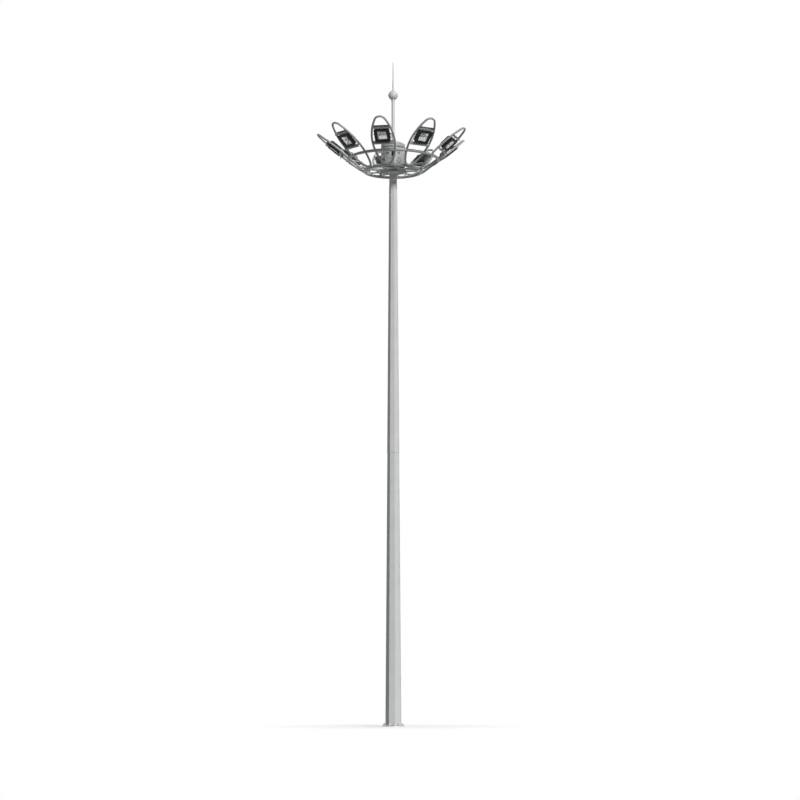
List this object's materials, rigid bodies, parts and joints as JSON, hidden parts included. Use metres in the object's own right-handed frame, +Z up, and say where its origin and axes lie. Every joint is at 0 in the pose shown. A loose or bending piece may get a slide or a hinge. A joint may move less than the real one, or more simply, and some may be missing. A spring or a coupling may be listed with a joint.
{
  "type": "high mast floodlight tower",
  "caption": "Tapered octagonal steel mast with a lotus-shaped crown of oval tube frames, each holding a tilting floodlight, two tube rings, a drum hub and a lightning rod with a ball.",
  "frame": {"origin": "centre of the base flange's underside, on the mast's axis, where the flange rests on its foundation", "axes": "+Z up along the mast; petal 1 points towards -Y; flats of the octagonal mast face +-X and +-Y"},
  "size_m": [5.4864, 5.4119, 24.105],
  "materials": {
    "mast_paint": "light grey satin coating over galvanised steel",
    "flange_steel": "galvanised steel",
    "crown_tube": "satin dark grey paint",
    "crown_steel": "matt grey paint",
    "hub_paint": "satin light grey paint",
    "stirrup": "galvanised flat bar",
    "floodlight_frame": "black powder coat on cast aluminium",
    "floodlight_housing": "grey powder coat on cast aluminium",
    "glass": "clear toughened glass",
    "rod_steel": "galvanised steel"
  },
  "bodies": {
    "tower": {"base_flange": "flange_steel", "crown_spigot": "crown_steel", "floodlight_stirrups": "stirrup", "floor_loops": "crown_tube", "hub_bottom_plate": "crown_steel", "hub_core": "crown_steel", "hub_covers": "hub_paint", "hub_drum": "hub_paint", "hub_floor_plate": "crown_steel", "hub_top_cap": "hub_paint", "lightning_rod_ball": "rod_steel", "lightning_rod_needle": "rod_steel", "lightning_rod_pipe": "rod_steel", "lower_ring": "crown_tube", "mast_lower_section": "mast_paint", "mast_upper_section": "mast_paint", "middle_ring": "crown_tube", "petal_frame_1": "crown_tube", "petal_frame_2": "crown_tube", "petal_frame_3": "crown_tube", "petal_frame_4": "crown_tube", "petal_frame_5": "crown_tube", "petal_frame_6": "crown_tube", "petal_frame_7": "crown_tube", "petal_frame_8": "crown_tube", "petal_frame_9": "crown_tube", "service_door": "mast_paint"},
    "floodlight_1": {"floodlight_1_housing": "floodlight_housing", "floodlight_1_front_frame": "floodlight_frame", "floodlight_1_glass": "glass"},
    "floodlight_2": {"floodlight_2_housing": "floodlight_housing", "floodlight_2_front_frame": "floodlight_frame", "floodlight_2_glass": "glass"},
    "floodlight_3": {"floodlight_3_housing": "floodlight_housing", "floodlight_3_front_frame": "floodlight_frame", "floodlight_3_glass": "glass"},
    "floodlight_4": {"floodlight_4_housing": "floodlight_housing", "floodlight_4_front_frame": "floodlight_frame", "floodlight_4_glass": "glass"},
    "floodlight_5": {"floodlight_5_housing": "floodlight_housing", "floodlight_5_front_frame": "floodlight_frame", "floodlight_5_glass": "glass"},
    "floodlight_6": {"floodlight_6_housing": "floodlight_housing", "floodlight_6_front_frame": "floodlight_frame", "floodlight_6_glass": "glass"},
    "floodlight_7": {"floodlight_7_housing": "floodlight_housing", "floodlight_7_front_frame": "floodlight_frame", "floodlight_7_glass": "glass"},
    "floodlight_8": {"floodlight_8_housing": "floodlight_housing", "floodlight_8_front_frame": "floodlight_frame", "floodlight_8_glass": "glass"},
    "floodlight_9": {"floodlight_9_housing": "floodlight_housing", "floodlight_9_front_frame": "floodlight_frame", "floodlight_9_glass": "glass"}
  },
  "joints": [
    {"name": "floodlight_1_tilt", "type": "hinge", "parent": "tower", "child": "floodlight_1", "pos_m": [0, -2.12081, 20.8722], "axis": [1, 0, 0], "range_deg": [-25, 25]},
    {"name": "floodlight_2_tilt", "type": "hinge", "parent": "tower", "child": "floodlight_2", "pos_m": [1.36323, -1.62464, 20.8722], "axis": [0.766, 0.6428, 0], "range_deg": [-25, 25]},
    {"name": "floodlight_3_tilt", "type": "hinge", "parent": "tower", "child": "floodlight_3", "pos_m": [2.08859, -0.36828, 20.8722], "axis": [0.1736, 0.9848, 0], "range_deg": [-25, 25]},
    {"name": "floodlight_4_tilt", "type": "hinge", "parent": "tower", "child": "floodlight_4", "pos_m": [1.83668, 1.06041, 20.8722], "axis": [-0.5, 0.866, 0], "range_deg": [-25, 25]},
    {"name": "floodlight_5_tilt", "type": "hinge", "parent": "tower", "child": "floodlight_5", "pos_m": [0.72536, 1.99291, 20.8722], "axis": [-0.9397, 0.342, 0], "range_deg": [-25, 25]},
    {"name": "floodlight_6_tilt", "type": "hinge", "parent": "tower", "child": "floodlight_6", "pos_m": [-0.72536, 1.99291, 20.8722], "axis": [-0.9397, -0.342, 0], "range_deg": [-25, 25]},
    {"name": "floodlight_7_tilt", "type": "hinge", "parent": "tower", "child": "floodlight_7", "pos_m": [-1.83668, 1.06041, 20.8722], "axis": [-0.5, -0.866, 0], "range_deg": [-25, 25]},
    {"name": "floodlight_8_tilt", "type": "hinge", "parent": "tower", "child": "floodlight_8", "pos_m": [-2.08859, -0.36828, 20.8722], "axis": [0.1736, -0.9848, 0], "range_deg": [-25, 25]},
    {"name": "floodlight_9_tilt", "type": "hinge", "parent": "tower", "child": "floodlight_9", "pos_m": [-1.36323, -1.62464, 20.8722], "axis": [0.766, -0.6428, 0], "range_deg": [-25, 25]}
  ]
}
